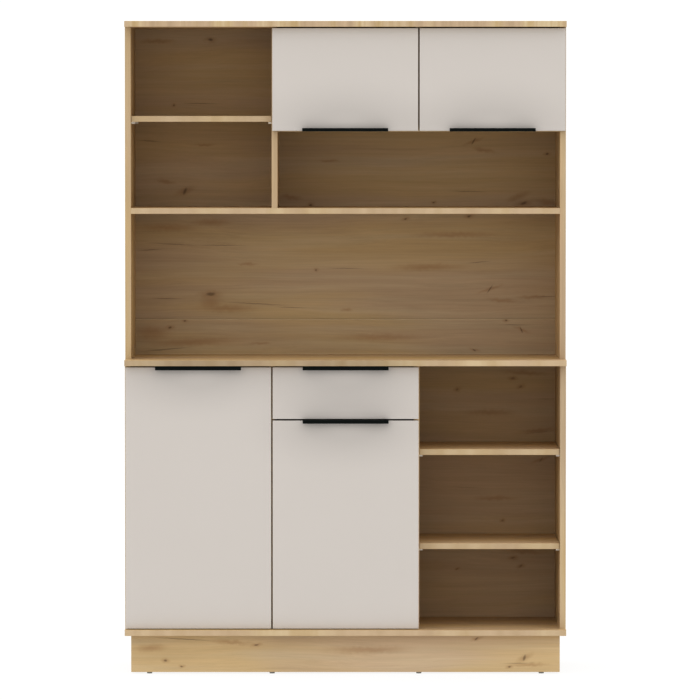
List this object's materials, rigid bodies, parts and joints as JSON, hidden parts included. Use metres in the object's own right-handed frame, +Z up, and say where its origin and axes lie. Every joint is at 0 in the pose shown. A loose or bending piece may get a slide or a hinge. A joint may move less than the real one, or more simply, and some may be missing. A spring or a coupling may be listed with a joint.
{
  "type": "kitchen dresser cabinet",
  "caption": "Free-standing kitchen dresser: base unit with doors, drawer and open shelves on a plinth, and a hutch with open niches and swing doors above the worktop.",
  "frame": {"origin": "on the floor under the middle of the worktop", "axes": "+X to the right seen from the front, +Y to the back, +Z up"},
  "size_m": [1.2, 0.4, 1.776],
  "materials": {
    "oak_decor": "matte oak-print melamine on chipboard",
    "plinth_board": "matte oak-print melamine on chipboard",
    "back_board": "matte oak-print hardboard",
    "front_decor": "matte warm grey melamine on chipboard",
    "drawer_board": "matte melamine",
    "drawer_sheet": "matte white hardboard",
    "black_metal": "matte black powder coat",
    "steel": "nickel plated",
    "zinc": "cast",
    "beech": "plain",
    "white_plastic": "satin",
    "grey_plastic": "satin"
  },
  "bodies": {
    "cabinet": {"bottom_panel": "oak_decor", "worktop": "oak_decor", "base_left_side": "oak_decor", "base_right_side": "oak_decor", "base_left_divider": "oak_decor", "base_right_divider": "oak_decor", "lower_open_shelf": "oak_decor", "upper_open_shelf": "oak_decor", "left_cupboard_shelf": "oak_decor", "middle_cupboard_shelf": "oak_decor", "hutch_top": "oak_decor", "hutch_left_side": "oak_decor", "hutch_right_side": "oak_decor", "hutch_long_shelf": "oak_decor", "hutch_divider": "oak_decor", "upper_bay_bottom": "oak_decor", "upper_bay_partition": "oak_decor", "hutch_left_shelf": "oak_decor", "hutch_rear_rail": "oak_decor", "plinth_front": "oak_decor", "plinth_back": "plinth_board", "plinth_cross_boards": "plinth_board", "base_back": "back_board", "hutch_back": "back_board", "hinge_plates": "steel", "hinge_arms": "steel", "hardware_screws": "steel", "back_pins": "steel", "cabinet_runners": "steel", "wall_brackets": "steel", "cam_fittings": "zinc", "dowels": "beech", "shelf_supports": "white_plastic", "floor_glides": "grey_plastic"},
    "drawer": {"drawer_front": "front_decor", "drawer_handle": "black_metal", "drawer_left_side": "drawer_board", "drawer_right_side": "drawer_board", "drawer_inner_front": "drawer_board", "drawer_back": "drawer_board", "drawer_bottom": "drawer_sheet", "drawer_slides": "steel", "drawer_screws": "steel"},
    "left_door_leaf": {"left_door": "front_decor", "left_door_handle": "black_metal", "left_door_hinge_cups": "steel", "left_door_screws": "steel"},
    "middle_door_leaf": {"middle_door": "front_decor", "middle_door_handle": "black_metal", "middle_door_hinge_cups": "steel", "middle_door_screws": "steel"},
    "upper_left_door_leaf": {"upper_left_door": "front_decor", "upper_left_door_handle": "black_metal", "upper_left_door_hinge_cups": "steel", "upper_left_door_screws": "steel"},
    "upper_right_door_leaf": {"upper_right_door": "front_decor", "upper_right_door_handle": "black_metal", "upper_right_door_hinge_cups": "steel", "upper_right_door_screws": "steel"}
  },
  "joints": [
    {"name": "left_door_swing", "type": "hinge", "parent": "cabinet", "child": "left_door_leaf", "pos_m": [-0.591, -0.173, 0.214], "axis": [0, 0, -1], "range_deg": [0, 95]},
    {"name": "middle_door_swing", "type": "hinge", "parent": "cabinet", "child": "middle_door_leaf", "pos_m": [0.192, -0.173, 0.214], "axis": [0, 0, 1], "range_deg": [0, 95]},
    {"name": "upper_left_door_swing", "type": "hinge", "parent": "cabinet", "child": "upper_left_door_leaf", "pos_m": [-0.192, -0.141, 1.533], "axis": [0, 0, -1], "range_deg": [0, 95]},
    {"name": "upper_right_door_swing", "type": "hinge", "parent": "cabinet", "child": "upper_right_door_leaf", "pos_m": [0.591, -0.141, 1.533], "axis": [0, 0, 1], "range_deg": [0, 95]},
    {"name": "drawer_slide", "type": "slide", "parent": "cabinet", "child": "drawer", "axis": [0, -1, 0], "range_m": [0, 0.26]}
  ]
}
